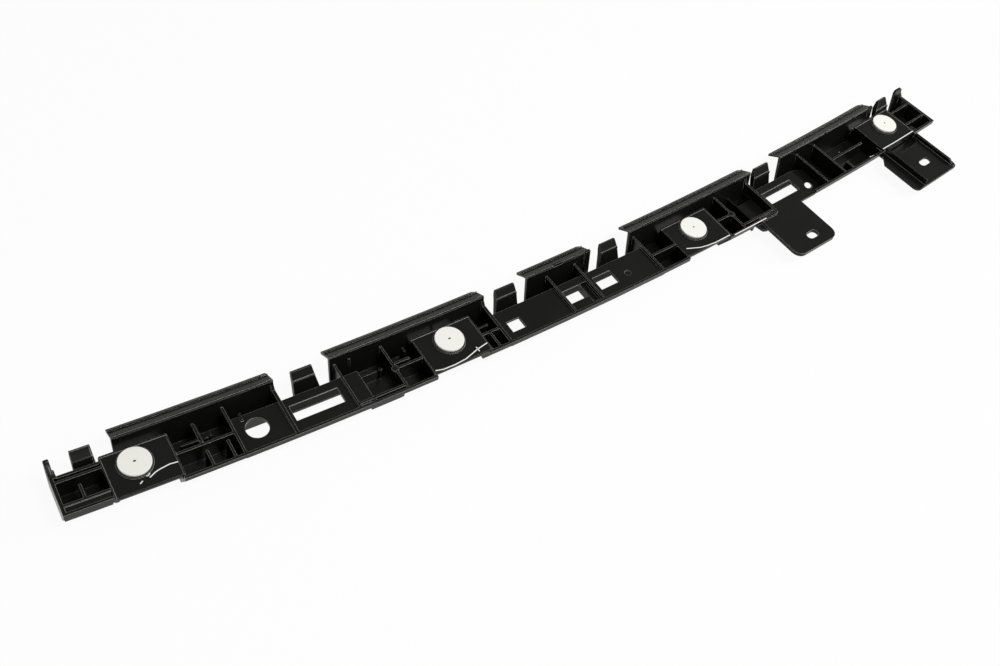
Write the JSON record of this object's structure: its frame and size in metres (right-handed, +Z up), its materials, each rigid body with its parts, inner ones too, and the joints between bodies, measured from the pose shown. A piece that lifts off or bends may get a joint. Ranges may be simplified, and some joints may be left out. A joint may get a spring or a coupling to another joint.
{
  "type": "bumper mounting bracket",
  "caption": "Long curved moulded bracket for the upper edge of a bumper cover, with cells, hooked rails, snap tongues, round pads and slotted tabs.",
  "frame": {"origin": "on the flat underside of the foot flange under the middle rail, at the middle of the bracket's arc", "axes": "+X along the arc's tangent towards the end with the recessed tab, +Y inwards to the arc's centre (the side of the rails), +Z up from the foot to the pads"},
  "size_m": [0.7612, 0.1013, 0.0238],
  "materials": {
    "moulding": "fine satin grain",
    "pad": "smooth"
  },
  "bodies": {
    "root": {"bracket": "moulding", "pad_1": "pad", "pad_2": "pad", "pad_3": "pad", "pad_4": "pad"}
  },
  "joints": []
}
